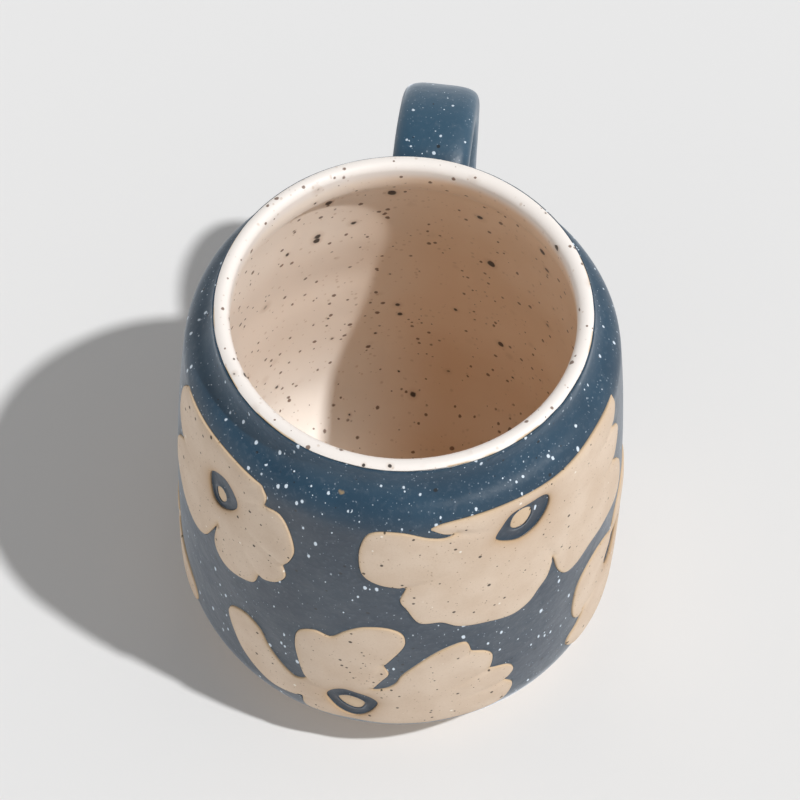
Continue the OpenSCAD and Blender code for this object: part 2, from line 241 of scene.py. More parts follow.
SIDE_PETALS = [
    [-31, 36], [-29.8, 41], [-26.4, 43], [-22, 40.4], [-19, 34], [-16, 30, 1], [-17, 40],
    [-15, 48.4], [-9, 52.4], [-2, 52.6], [3, 49], [4, 43], [1.4, 37.6], [-1, 33, 1],
    [6, 35.8], [13, 35.2], [16.6, 31.8], [16, 28.4, 1], [22, 28.6], [27.4, 27.6], [31, 24],
    [31, 18.4], [27, 14.8], [18, 13.8], [5, 13.6], [-8, 14], [-14, 15.6], [-15, 19.6, 1],
    [-20, 18.6], [-26, 21], [-30, 28],
]
SIDE_CENTRE = [
    [-7.8, 26], [-6, 28.8], [-2.6, 30], [1, 28.6], [3.4, 25.6], [2.4, 21.6], [-0.6, 18.6],
    [-4, 19], [-7, 22],
]
SIDE_DOT = [[-4.8, 24.6], [-3, 26.4], [-0.6, 25.6], [0.4, 23.4], [-1, 21.4], [-3.4, 21.8]]

# CAD node: angle round the body, side (-1 turns the outline over), outlines, lift
POPPIES = {
    "poppy_front_left": (132.6, 1, TALL_PETALS, TALL_CENTRE, TALL_DOT, 0),
    "poppy_front_right": (218.6, 1, WIDE_PETALS, WIDE_CENTRE, WIDE_DOT, 0),
    "poppy_front_low": (177.6, 1, LOW_PETALS, LOW_CENTRE, LOW_DOT, 0),
    "poppy_right_low": (276.6, 1, SPREAD_PETALS, SPREAD_CENTRE, SPREAD_DOT, 0),
    "poppy_left_low": (80.6, 1, SIDE_PETALS, SIDE_CENTRE, SIDE_DOT, 0),
    "poppy_back_left": (50, 1, TALL_PETALS, TALL_CENTRE, TALL_DOT, -6),
    "poppy_back_right": (317, -1, TALL_PETALS, TALL_CENTRE, TALL_DOT, -6),
}

# Curve points between an outline's points, and heights above the glazed surface
OUTLINE_STEPS = 8
PETAL_TOP = 0.7
POOL_FLOOR = -0.75
POOL_BASE = -1.25
DOT_TOP = -0.55
SKIN_FLOOR = -0.42


def smooth(points, steps):
    """Closed curve through an outline's points, with its corners kept sharp."""
    p = np.array([q[:2] for q in points], float)
    sharp = np.array([len(q) == 3 for q in points])
    slope = (np.roll(p, -1, 0) - np.roll(p, 1, 0)) / 2
    slope[sharp] = 0
    q, q_slope = np.roll(p, -1, 0), np.roll(slope, -1, 0)
    t = (np.arange(steps) / steps)[None, :, None]
    p, q, slope, q_slope = (a[:, None, :] for a in (p, q, slope, q_slope))
    curve = (p * (2 * t**3 - 3 * t**2 + 1) + slope * (t**3 - 2 * t**2 + t)
             + q * (3 * t**2 - 2 * t**3) + q_slope * (t**3 - t**2))
    return curve.reshape(-1, 2)


def unrolled(poppy, points):
    """An outline as [across, up] on the unrolled wall."""
    angle, side, lift = poppy[0], poppy[1], poppy[5]
    curve = smooth(points, OUTLINE_STEPS)
    up = up_of(curve[:, 1] + lift)
    r = np.interp(up, OUTSIDE_UP, OUTSIDE[:, 0]) + PETAL_TOP / 2
    turn = math.radians(angle) + side * np.arcsin(curve[:, 0] / r)
    return np.stack([turn * UNROLL_R, up], -1)


def inside_by(points, outline):
    """Distance to the outline's edge, positive inside it."""
    result = np.empty(len(points))
    a, b = outline, np.roll(outline, -1, 0)
    ab = b - a
    length2 = np.maximum((ab**2).sum(1), 1e-12)
    for start in range(0, len(points), 4000):
        p = points[start:start + 4000, None, :]
        t = np.clip(((p - a) * ab).sum(2) / length2, 0, 1)
        gap = p - (a + t[..., None] * ab)
        distance = np.sqrt((gap**2).sum(2).min(1))
        px, py = p[..., 0], p[..., 1]
        crosses = (a[:, 1] > py) != (b[:, 1] > py)
        rise = np.where(np.abs(ab[:, 1]) < 1e-12, 1e-12, ab[:, 1])
        x_there = a[:, 0] + (py - a[:, 1]) / rise * ab[:, 0]
        odd = (crosses & (px < x_there)).sum(1) % 2 == 1
        result[start:start + 4000] = np.where(odd, distance, -distance)
    return result


OUTLINES = {
    name: [unrolled(poppy, outline) for outline in poppy[2:5]] for name, poppy in POPPIES.items()
}


def ripple(across, up, size, seed):
    """Smooth unevenness from -1 to 1 over the wall, size in mm; it closes on itself."""
    angle = across / UNROLL_R
    x, y = UNROLL_R * np.cos(angle) / size, UNROLL_R * np.sin(angle) / size
    z = up / size + 17.3 * seed  # far enough apart for each seed to have its own noise
    return np.array([noise.noise((a, b, c)) for a, b, c in zip(x, y, z)])


# --- mesh building -----------------------------------------------------------


def new_piece(name, points, faces, material, replaced=(), attributes=None):
    """A visible piece on the part's one body, from points in mm."""
    mesh = bpy.data.meshes.new(name)
    mesh.from_pydata((np.asarray(points) * MM).tolist(), [], faces)
    mesh.update()
    for key, values in (attributes or {}).items():
        layer = mesh.attributes.new(key, "FLOAT", "POINT")
        layer.data.foreach_set("value", np.asarray(values, np.float32))
    mesh.polygons.foreach_set("use_smooth", [True] * len(mesh.polygons))
    mesh.materials.append(material)
    piece = bpy.data.objects.new(name, mesh)
    bpy.context.scene.collection.objects.link(piece)
    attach(piece, "root")
    if replaced:
        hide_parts(*replaced)
    return piece


def revolve(line, segments, shift=None):
    """Points and quads of a line turned round the axis. shift moves each point: it takes the
    angles and the line's row numbers, and gives changes of radius and of height."""
    angle = np.arange(segments) * 2 * math.pi / segments
    rows = np.arange(len(line))
    a, k = (g.ravel() for g in np.meshgrid(angle, rows, indexing="xy"))
    r, z = line[k, 0].copy(), line[k, 1].copy()
    if shift is not None:
        dr, dz = shift(a, k)
        r, z = r + dr, z + dz
    points = np.stack([r * np.cos(a), r * np.sin(a), z], -1)
    here = np.arange(segments)
    there = (here + 1) % segments
    faces = []
    for row in range(len(line) - 1):
        low, high = row * segments, (row + 1) * segments
        faces += np.stack([low + here, low + there, high + there, high + here], -1).tolist()
    return points, faces


def cap(points, faces, row, segments, z, upward):
    """Closes the hole inside a ring of points with a fan round the axis."""
    centre = len(points)
    points = np.vstack([points, [[0, 0, z]]])
    here = row * segments + np.arange(segments)
    there = row * segments + (np.arange(segments) + 1) % segments
    order = (here, there) if upward else (there, here)
    faces = faces + [[a, b, centre] for a, b in zip(*order)]
    return points, faces


def trimmed_patch(across, up, field, rings):
    """A grid on the unrolled wall, kept where field is positive, with an edge loop along
    each of the rings, which are values of the field. Gives points [across, up] and faces."""
    grid = np.stack(np.meshgrid(across, up, indexing="xy"), -1).reshape(-1, 2)
    depth = field(grid)
    wide = len(across)
    keep = depth.reshape(len(up), wide)
    bm = bmesh.new()
    verts = [bm.verts.new((p[0], p[1], d)) for p, d in zip(grid, depth)]
    for j in range(len(up) - 1):
        for i in range(wide - 1):
            if keep[j:j + 2, i:i + 2].max() > 0:
                k = j * wide + i
                bm.faces.new((verts[k], verts[k + 1], verts[k + wide + 1], verts[k + wide]))
    loose = [v for v in bm.verts if not v.link_faces]
    bmesh.ops.delete(bm, geom=loose, context="VERTS")
    for level in rings:
        bmesh.ops.bisect_plane(
            bm, geom=bm.verts[:] + bm.edges[:] + bm.faces[:], dist=0.01,
            plane_co=(0, 0, level), plane_no=(0, 0, 1), clear_inner=level == rings[0])
    bm.verts.index_update()
    points = np.array([v.co[:] for v in bm.verts])
    faces = [[v.index for v in f.verts] for f in bm.faces]
    border = [[loop.vert.index, loop.link_loop_next.vert.index]
              for f in bm.faces for loop in f.loops if len(loop.edge.link_faces) == 1]
    bm.free()
    return points, faces, border


def skin(points, faces, border, top, floor):
    """A closed solid on the wall between the heights top and floor of each point."""
    count = len(points)
    upper = on_wall(points[:, 0], points[:, 1], top)
    lower = on_wall(points[:, 0], points[:, 1], floor)
    all_faces = list(faces) + [[i + count for i in reversed(f)] for f in faces]
    all_faces += [[b, a, a + count, b + count] for a, b in border]
    return np.vstack([upper, lower]), all_faces


def rounded(distance, radius):
    """How far an edge of that radius has dropped at a distance in from it."""
    t = 1 - np.clip(distance / radius, 0, 1)
    return radius * (1 - np.sqrt(1 - t**2))


def span(low, high, step):
    return np.linspace(low, high, max(2, int(round((high - low) / step)) + 1))


def around(outline, step, margin=1.0):
    """Grid lines over an outline's box."""
    low, high = outline.min(0) - margin, outline.max(0) + margin
    return span(low[0], high[0], step), span(low[1], high[1], step)


# --- materials ---------------------------------------------------------------

# Colours, linear. A pair is the two ends of a glaze's or clay's own cloudiness.
WALL_BLUES = ((0.020, 0.035, 0.057, 1), (0.028, 0.045, 0.067, 1))
COLLAR_BLUES = ((0.008, 0.042, 0.080, 1), (0.013, 0.054, 0.098, 1))
STRAP_BLUE = (0.030, 0.084, 0.138, 1)
POOL_BLUE = (0.018, 0.050, 0.085, 1)
HAZE = (0.22, 0.26, 0.31, 1)
TAN_FLECK = (0.40, 0.28, 0.14, 1)
BLACK_SPECK = (0.006, 0.008, 0.012, 1)
PALE_DUST = (0.40, 0.48, 0.57, 1)
WHITE_SPECK = (0.72, 0.82, 0.92, 1)

# Inside the cream coat, these four are painted light and shade: the lit +Y side's colours, palest low
# down, and the shaded -Y side's colours, darkest low down
CREAM_PAINTED_LIT_SIDE = ((0.97, 0.86, 0.75, 1), (0.975, 0.88, 0.78, 1))
CREAM_PAINTED_LIT_LOW = (0.97, 0.91, 0.845, 1)
CREAM_PAINTED_SHADE_SIDE = ((0.78, 0.56, 0.385, 1), (0.82, 0.61, 0.44, 1))
CREAM_PAINTED_SHADE_LOW = (0.68, 0.46, 0.30, 1)
CREAM_LIP = (0.93, 0.87, 0.82, 1)
BARE_EDGE = (0.62, 0.43, 0.22, 1)
IRON_HALO = (0.42, 0.25, 0.13, 1)
IRON_FAINT = (0.45, 0.29, 0.17, 1)
IRON_SMALL = (0.13, 0.055, 0.022, 1)
IRON_BIG = (0.022, 0.014, 0.010, 1)

BUFF_CLAYS = ((0.64, 0.50, 0.38, 1), (0.70, 0.565, 0.445, 1))
TOASTED_CLAY = (0.62, 0.42, 0.21, 1)
CLAY_PAINTED_SHADE = (0.42, 0.26, 0.14, 1)
CLAY_GRAIN = (0.50, 0.36, 0.25, 1)
CLAY_BROWN = (0.22, 0.12, 0.06, 1)
CLAY_PALE = (0.95, 0.90, 0.82, 1)
CLAY_DARK = (0.035, 0.026, 0.02, 1)
SLIP_BROWNS = ((0.42, 0.26, 0.15, 1), (0.56, 0.38, 0.24, 1))
TABLE_GREYS = ((0.795, 0.795, 0.795, 1), (0.805, 0.805, 0.805, 1))


class Nodes:
    """Short calls for building a material's nodes."""

    def __init__(self, name):
        self.material = bpy.data.materials.new(name)
        self.material.use_nodes = True
        self.tree = self.material.node_tree
        self.tree.nodes.clear()
        self.shader = self.add("ShaderNodeBsdfPrincipled")
        output = self.add("ShaderNodeOutputMaterial")
        self.link(self.shader.outputs["BSDF"], output.inputs["Surface"])
        self.place = self.add("ShaderNodeTexCoord").outputs["Object"]

    def add(self, kind, **settings):
        node = self.tree.nodes.new(kind)
        for key, value in settings.items():
            setattr(node, key, value)
        return node

    def link(self, source, target):
        self.tree.links.new(source, target)

    def put(self, socket, value):
        if isinstance(value, bpy.types.NodeSocket):
            self.link(value, socket)
        else:
            socket.default_value = value

    def math(self, operation, *values, clamp=False):
        node = self.add("ShaderNodeMath", operation=operation, use_clamp=clamp)
        for socket, value in zip(node.inputs, values):
            self.put(socket, value)
        return node.outputs[0]

    def between(self, value, low, high, to_low=0.0, to_high=1.0):
        """value's place between low and high, smoothed, clamped and sent to to_low..to_high."""
        node = self.add("ShaderNodeMapRange", interpolation_type="SMOOTHSTEP")
        for socket, v in zip(node.inputs, (value, low, high, to_low, to_high)):
            self.put(socket, v)
        return node.outputs[0]

    def mix(self, share, a, b):
        node = self.add("ShaderNodeMix", data_type="RGBA")
        self.put(node.inputs[0], share)
        self.put(node.inputs[6], a)
        self.put(node.inputs[7], b)
        return node.outputs[2]

    def noise(self, size_mm, detail=2.0, roughness=0.5, place=None):
        node = self.add("ShaderNodeTexNoise")
        self.put(node.inputs["Vector"], place or self.place)
        node.inputs["Scale"].default_value = 1000 / size_mm
        node.inputs["Detail"].default_value = detail
        node.inputs["Roughness"].default_value = roughness
        return node.outputs["Fac"]

    def moved(self, offset, bend_mm=0.0, bend_size=1.0, stretch=(1, 1, 1)):
        """The place, moved by offset and bent a little so that spots aren't round."""
        mapping = self.add("ShaderNodeMapping")
        self.put(mapping.inputs["Vector"], self.place)
        mapping.inputs["Location"].default_value = offset
        mapping.inputs["Scale"].default_value = stretch
        if not bend_mm:
            return mapping.outputs[0]
        wave = self.add("ShaderNodeTexNoise")
        self.put(wave.inputs["Vector"], self.place)
        wave.inputs["Scale"].default_value = 1000 / bend_size
        centred = self.add("ShaderNodeVectorMath", operation="SUBTRACT")
        self.put(centred.inputs[0], wave.outputs["Color"])
        centred.inputs[1].default_value = (0.5, 0.5, 0.5)
        scaled = self.add("ShaderNodeVectorMath", operation="SCALE")
        self.put(scaled.inputs[0], centred.outputs[0])
        scaled.inputs["Scale"].default_value = bend_mm * MM * 2
        total = self.add("ShaderNodeVectorMath", operation="ADD")
        self.put(total.inputs[0], mapping.outputs[0])
        self.put(total.inputs[1], scaled.outputs[0])
        return total.outputs[0]

    def specks(self, cell_mm, largest_mm, place, rarity=2.0, present=1.0, soft=0.25):
        """Spots of random size, at most one to a cell: 1 inside them and 0 outside."""
        cells = self.add("ShaderNodeTexVoronoi")
        self.put(cells.inputs["Vector"], place)
        cells.inputs["Scale"].default_value = 1000 / cell_mm
        pick = self.add("ShaderNodeSeparateColor")
        self.put(pick.inputs[0], cells.outputs["Color"])
        size = self.math("POWER", pick.outputs[0], rarity)
        radius = self.math("MULTIPLY", size, largest_mm / 2 / cell_mm)
        if not isinstance(present, float) or present < 1:
            shown = self.math("LESS_THAN", pick.outputs[1], present)
            radius = self.math("MULTIPLY", radius, shown)
        inner = self.math("MULTIPLY", radius, 1 - soft)
        outer = self.math("MULTIPLY", radius, 1 + soft)
        return self.between(cells.outputs["Distance"], inner, self.math("ADD", outer, 1e-4), 1.0, 0.0)

    def attribute(self, name):
        node = self.add("ShaderNodeAttribute", attribute_name=name)
        return node.outputs["Fac"]

    def height(self):
        return self.split_place().outputs["Z"]

    def side(self):
        return self.split_place().outputs["Y"]

    def split_place(self):
        split = self.add("ShaderNodeSeparateXYZ")
        self.put(split.inputs[0], self.place)
        return split

    def bump(self, height_mm, strength=1.0):
        """A height in millimetres, as the shader's normal."""
        node = self.add("ShaderNodeBump")
        node.inputs["Strength"].default_value = strength
        node.inputs["Distance"].default_value = MM
        self.put(node.inputs["Height"], height_mm)
        self.link(node.outputs[0], self.shader.inputs["Normal"])

    def over(self, base, mask, amount, colour):
        """A colour laid over base, as strong as amount where the mask is 1."""
        return self.mix(self.math("MULTIPLY", mask, amount), base, colour)

    def sheen(self, weight, roughness, tint=(1, 1, 1, 1)):
        self.shader.inputs["Sheen Weight"].default_value = weight
        self.shader.inputs["Sheen Roughness"].default_value = roughness
        self.shader.inputs["Sheen Tint"].default_value = tint

    def finish(self, colour, roughness):
        self.put(self.shader.inputs["Base Color"], colour)
        self.put(self.shader.inputs["Roughness"], roughness)
        return self.material


def blue_glaze():
    """Satin blue, richer on the collar and strap, with white and black specks and a few tan."""
    n = Nodes("blue_glaze")
    cloud = n.between(n.noise(14, 4), 0.35, 0.65)
    collar = n.between(n.height(), 88 * MM, 98 * MM)
    colour = n.mix(collar, n.mix(cloud, *WALL_BLUES), n.mix(cloud, *COLLAR_BLUES))
    colour = n.mix(n.attribute("strap"), colour, STRAP_BLUE)
    colour = n.over(colour, n.attribute("pool"), 0.75, POOL_BLUE)
    haze = n.noise(1.2, 3, 0.6)
    colour = n.mix(n.between(haze, 0.5, 0.8, 0, 0.16), colour, HAZE)
    spread = n.math("MULTIPLY", n.between(n.noise(13, 2), 0.35, 0.60, 0.45, 1.0), 0.55)
    crowd = n.math("ADD", spread, n.math("MULTIPLY", collar, 0.4))
    tan = n.specks(8, 1.6, n.moved((0.2, 0.45, 0), 0.5, 1.6), 3.0, 0.5)
    black = n.specks(1.9, 0.95, n.moved((0.31, 0, 0), 0.2, 1.5), 3.4, 0.75)
    white = n.specks(1.3, 0.85, n.moved((0, 0.17, 0), 0.18, 1.0, (1, 1, 0.55)), 2.6, crowd)
    dust = n.specks(0.65, 0.34, n.moved((0, 0, 0.23), 0.05, 0.6, (1, 1, 0.7)), 1.5, crowd)
    colour = n.over(colour, tan, 0.8, TAN_FLECK)
    colour = n.over(colour, black, 0.92, BLACK_SPECK)
    colour = n.over(colour, dust, 0.45, PALE_DUST)
    colour = n.over(colour, white, 0.95, WHITE_SPECK)
    peel = n.noise(2.4, 2)
    raised = n.math("ADD", n.math("MULTIPLY", peel, 0.09), n.math("MULTIPLY", white, 0.04))
    raised = n.math("ADD", raised, n.math("MULTIPLY", n.noise(0.35, 2), 0.012))
    n.bump(raised)
    n.shader.inputs["IOR"].default_value = 1.52
    n.sheen(0.6, 0.32, (0.86, 0.92, 1.0, 1))
    return n.finish(colour, n.between(n.noise(6, 3), 0.3, 0.7, 0.40, 0.52))


def cream_glaze():
    """Warm white satin over the lip and inside, with iron specks that bleed a little. Inside,
    it is paler towards +Y and browner towards -Y, as the photo's lit and shaded sides look:
    painted light on the +Y side and painted shade on the -Y side, the shade darkest low down."""
    n = Nodes("cream_glaze")
    cloud = n.between(n.noise(22, 3), 0.3, 0.7)
    pale = n.mix(cloud, *CREAM_PAINTED_LIT_SIDE)
    brown = n.mix(cloud, *CREAM_PAINTED_SHADE_SIDE)
    # painted shade, darker low down on the shaded side, and painted light, paler low down on the lit
    # side
    brown = n.mix(n.between(n.height(), 50 * MM, 10 * MM, 0, 0.5), brown, CREAM_PAINTED_SHADE_LOW)
    pale = n.mix(n.between(n.height(), 45 * MM, 15 * MM, 0, 0.8), pale, CREAM_PAINTED_LIT_LOW)
    # painted light and shade: the shaded copy of the cream towards -Y, the lit copy towards +Y
    colour = n.mix(n.between(n.side(), -8 * MM, 22 * MM), brown, pale)
    lip = n.between(n.height(), 101.5 * MM, 104.5 * MM)
    colour = n.mix(lip, colour, CREAM_LIP)
    bare = n.math("MULTIPLY", n.attribute("edge"), n.between(n.noise(9, 1), 0.52, 0.58))
    colour = n.mix(bare, colour, BARE_EDGE)
    big_place = n.moved((0.05, 0.11, 0), 0.45, 2.4)
    big = n.specks(4.4, 2.0, big_place, 2.6, 0.8, 0.18)
    halo = n.specks(4.4, 3.2, big_place, 2.6, 0.8, 0.6)
    small = n.specks(1.9, 1.15, n.moved((0.4, 0, 0.09), 0.25, 1.2), 2.2, 0.8)
    faint = n.specks(1.4, 0.8, n.moved((0, 0.28, 0.3), 0.2, 1.0), 1.6, 0.65, 0.5)
    colour = n.over(colour, halo, 0.28, IRON_HALO)
    colour = n.over(colour, faint, 0.35, IRON_FAINT)
    colour = n.over(colour, small, 0.85, IRON_SMALL)
    colour = n.over(colour, big, 0.95, IRON_BIG)
    n.bump(n.math("MULTIPLY", n.noise(3.5, 2), 0.05))
    n.sheen(0.2, 0.4)
    return n.finish(colour, n.between(n.noise(8, 2), 0.3, 0.7, 0.44, 0.56))


def bare_clay():
    """Matt buff clay, toasted along the edges that the glaze laps, with fine iron specks,
    and painted shade where the petals dip towards the poppies' centres.
    """
    n = Nodes("bare_clay")
    colour = n.mix(n.between(n.noise(9, 4), 0.3, 0.7), *BUFF_CLAYS)
    colour = n.over(colour, n.attribute("edge"), 0.55, TOASTED_CLAY)
    # painted shade where the petals dip towards each poppy's centre
    colour = n.over(colour, n.attribute("dip_and_shade"), 0.5, CLAY_PAINTED_SHADE)
    grain = n.noise(0.5, 3, 0.7)
    colour = n.mix(n.between(grain, 0.5, 0.75, 0, 0.22), colour, CLAY_GRAIN)
    dark = n.specks(1.7, 0.8, n.moved((0.21, 0.33, 0), 0.15, 1.2), 2.8, 0.8)
    brown = n.specks(0.8, 0.40, n.moved((0, 0.08, 0.14), 0.08, 0.8), 1.5, 0.6)
    pale = n.specks(2.6, 0.8, n.moved((0.09, 0, 0.41), 0.2, 1.2), 3.0, 0.5)
    colour = n.over(colour, brown, 0.55, CLAY_BROWN)
    colour = n.over(colour, pale, 0.7, CLAY_PALE)
    colour = n.over(colour, dark, 0.9, CLAY_DARK)
    tooth = n.math("MULTIPLY", n.noise(0.45, 3, 0.6), 0.035)
    n.bump(n.math("ADD", tooth, n.math("MULTIPLY", n.noise(4, 2), 0.08)))
    return n.finish(colour, n.between(grain, 0.3, 0.7, 0.72, 0.9))


def fired_slip():
    """The thin joint between strap and wall, darker than the clay."""
    n = Nodes("fired_slip")
    colour = n.mix(n.noise(1.5, 4), *SLIP_BROWNS)
    n.bump(n.math("MULTIPLY", n.noise(0.6, 3), 0.06))
    return n.finish(colour, n.between(n.noise(2), 0.3, 0.7, 0.75, 0.92))


def table_top():
    """Plain pale studio floor with a very faint tooth."""
    n = Nodes("studio_floor")
    colour = n.mix(n.noise(400, 2), *TABLE_GREYS)
    return n.finish(colour, 0.95)


BLUE = blue_glaze()
CREAM = cream_glaze()
CLAY = bare_clay()
SLIP = fired_slip()

# --- pieces ------------------------------------------------------------------


def eye_dip(across, up):
    """Depth that the clay wall is pressed in under the poppies' centres."""
    depth = np.zeros(len(across))
    points = np.stack([across, up], -1)
    for _, centre, _ in OUTLINES.values():
        middle = centre.mean(0)
        near = np.abs(points - middle).max(1) < 12
        if near.any():
            away = -inside_by(points[near], centre)
            depth[near] = np.maximum(depth[near], 0.9 * np.clip(1 - away / 1.5, 0, 1))
    return depth


def stoneware_body():
    """Clay wall, base and foot ring as one thrown and trimmed solid."""
    segments = 240
    outer = wall_line(-GLAZE, 1.3)
    lip = lip_line(GLAZE, 0, 180, 0.5)
    inner = inner_line(GLAZE, 1.6)
    ring_in = FOOT_R - FOOT_W
    foot = np.array([
        [2, FOOT_H], [10, FOOT_H], [20, FOOT_H], [ring_in - 3, FOOT_H],
        [ring_in - 1, FOOT_H - 0.12], [ring_in - 0.45, FOOT_H - 0.6], [ring_in - 0.1, 1.4],
        [ring_in + 0.1, 0.5], [ring_in + 0.5, 0.08], [ring_in + 1, 0], [FOOT_R - 1.1, 0],
        [FOOT_R - 0.55, 0.1], [FOOT_R - 0.1, 0.5], [FOOT_R + 0.15, 1.2],
        [FOOT_R + 0.4, 2.6], [FOOT_R + 0.75, FOOT_H + 0.6],
    ])  # the hollow's floor, the ring's soft corners and its flat
    line = np.concatenate([foot, outer, lip, inner])
    first, last = len(foot), len(foot) + len(outer)
    up_at = np.zeros(len(line))
    up_at[first:last] = up_of(outer[:, 1])

    def shift(angle, row):
        dr = 0.04 * np.sin(3 * angle + row * 0.7)
        on_outside = (row >= first) & (row < last)
        dr[row < first] *= 0.5
        up = up_at[row[on_outside]]
        dr[on_outside] = -eye_dip((angle[on_outside] % (2 * math.pi)) * UNROLL_R, up)
        return dr, np.zeros(len(row))

    points, faces = revolve(line, segments, shift)
    points, faces = cap(points, faces, 0, segments, FOOT_H, False)
    points, faces = cap(points, faces, len(line) - 1, segments, line[-1, 1], True)
    edge = np.zeros(len(points))
    new_piece("stoneware_body", points, faces, CLAY, ["body"],
              {"edge": edge, "dip_and_shade": edge})


def inner_wave(angle, up):
    """The soft throwing rings and finger dents inside, in mm."""
    across = angle * UNROLL_R
    rings = 0.13 * np.sin(up / 4.2 - 2.0 * angle + 0.9 * np.sin(angle + 0.5))
    return rings + 0.42 * ripple(across, up * 1.8, 24, 3) + 0.12 * ripple(across, up, 9, 5) - 0.22


def cream_liner():
    """Cream coat: up from its wavy edge outside, over the lip, down the inside and the floor."""
    segments = 400
    front = np.concatenate([lip_line(0, BLUE_UP, 180, 0.15)[:-1], inner_line(0, 0.8)])
    back = np.concatenate([lip_line(0.35, BLUE_UP - 3, 180, 0.6)[:-1], inner_line(0.35, 3)])[::-1]
    along = line_length(front)
    fade = np.clip((along - 5) / 6, 0, 1) * np.clip((along[-1] - along) / 25, 0, 1)
    rounding = rounded(along, 0.25)

    def shift(angle, row):
        on_front = row < len(front)
        k = np.minimum(row, len(front) - 1)
        across = angle * UNROLL_R
        dr = np.where(on_front, inner_wave(angle, front[k, 1]) * fade[k], 0)
        lip_wave = 0.06 * np.sin(2 * angle + 0.6) + 0.05 * np.sin(5 * angle + 2.1)
        on_lip = on_front & (fade[k] <= 0)
        dz = np.where(on_lip, lip_wave - 0.11 - 0.6 * rounding[k], 0)
        dr = dr - np.where(on_front, rounding[k], 0)
        edge_wave = 0.20 * ripple(across, np.zeros(len(across)), 5, 8)
        at_edge = np.where(on_front, np.clip(1 - along[k] / 0.6, 0, 1), row == len(line) - 1)
        return dr + 0.55 * edge_wave * at_edge, dz - 0.85 * edge_wave * at_edge

    line = np.concatenate([front, back])
    points, faces = revolve(line, segments, shift)
    seam = (len(line) - 1) * segments
    here = np.arange(segments)
    there = (here + 1) % segments
    faces += np.stack([seam + here, seam + there, there, here], -1).tolist()
    middle = len(front) - 1
    # The quads that would join the front's last ring to the back's first are left out
    bridge, next_ring = range(middle * segments, (middle + 1) * segments), (middle + 1) * segments
    faces = [f for f in faces if not (len(f) == 4 and f[0] in bridge and f[2] >= next_ring)]
    points, faces = cap(points, faces, middle, segments, front[-1, 1], True)
    points, faces = cap(points, faces, middle + 1, segments, back[0, 1], False)
    edge = np.zeros(len(points))
    edge[:len(front) * segments] = np.repeat(np.clip(1.5 - along / 0.4, 0, 1), segments)
    new_piece("cream_liner", points, faces, CREAM, ["liner_glaze"],
              {"edge": edge})


def wall_field(points):
    """Distance in from the blue coat's edges: the poppies, its foot and its top."""
    angle = points[:, 0] / UNROLL_R
    low = up_of(BLUE_LOW) + 0.25 + 0.22 * np.sin(4 * angle + 1) + 0.12 * np.sin(9 * angle)
    high = up_of(BLUE_HIGH) - 0.16 + 0.13 * ripple(points[:, 0], 0 * angle, 3.5, 9)
    field = np.minimum(points[:, 1] - low, high - points[:, 1])
    for petals, _, _ in OUTLINES.values():
        box_low, box_high = petals.min(0) - 6, petals.max(0) + 6
        near = ((points > box_low) & (points < box_high)).all(1)
        field[near] = np.minimum(field[near], -inside_by(points[near], petals))
    return field


def blue_wall():
    """Blue coat with a window for each poppy; it is thicker where it pools at their edges."""
    across = span(0, 2 * math.pi * UNROLL_R, 0.62)
    up = span(up_of(BLUE_LOW) - 0.4, up_of(BLUE_HIGH) + 0.4, 0.62)
    rings = [0, 0.12, 0.3, 0.6]
    points, faces, border = trimmed_patch(across, up, wall_field, rings)
    field = points[:, 2]
    turn = 2 * math.pi * UNROLL_R
    seam = (points[:, 0] < 1e-4) | (points[:, 0] > turn - 1e-4)
    border = [e for e in border if not (seam[e[0]] and seam[e[1]])]
    top = 0.09 * np.exp(-np.maximum(field, 0) / 0.7) - rounded(field, 0.22)
    top += 0.05 * ripple(points[:, 0], points[:, 1], 14, 1)
    floor = np.full(len(points), SKIN_FLOOR)
    solid, all_faces = skin(points, faces, border, top, floor)
    pool = np.exp(-np.maximum(field, 0) / 0.55)
    piece = new_piece("blue_wall", solid, all_faces, BLUE, ["wall_glaze"],
                      {"pool": np.concatenate([pool, pool])})
    bm = bmesh.new()
    bm.from_mesh(piece.data)
    joined = [v for v in bm.verts if abs(v.co.y) < 0.02 * MM and v.co.x > 0]
    bmesh.ops.remove_doubles(bm, verts=joined, dist=0.003 * MM)
    bm.to_mesh(piece.data)
    bm.free()


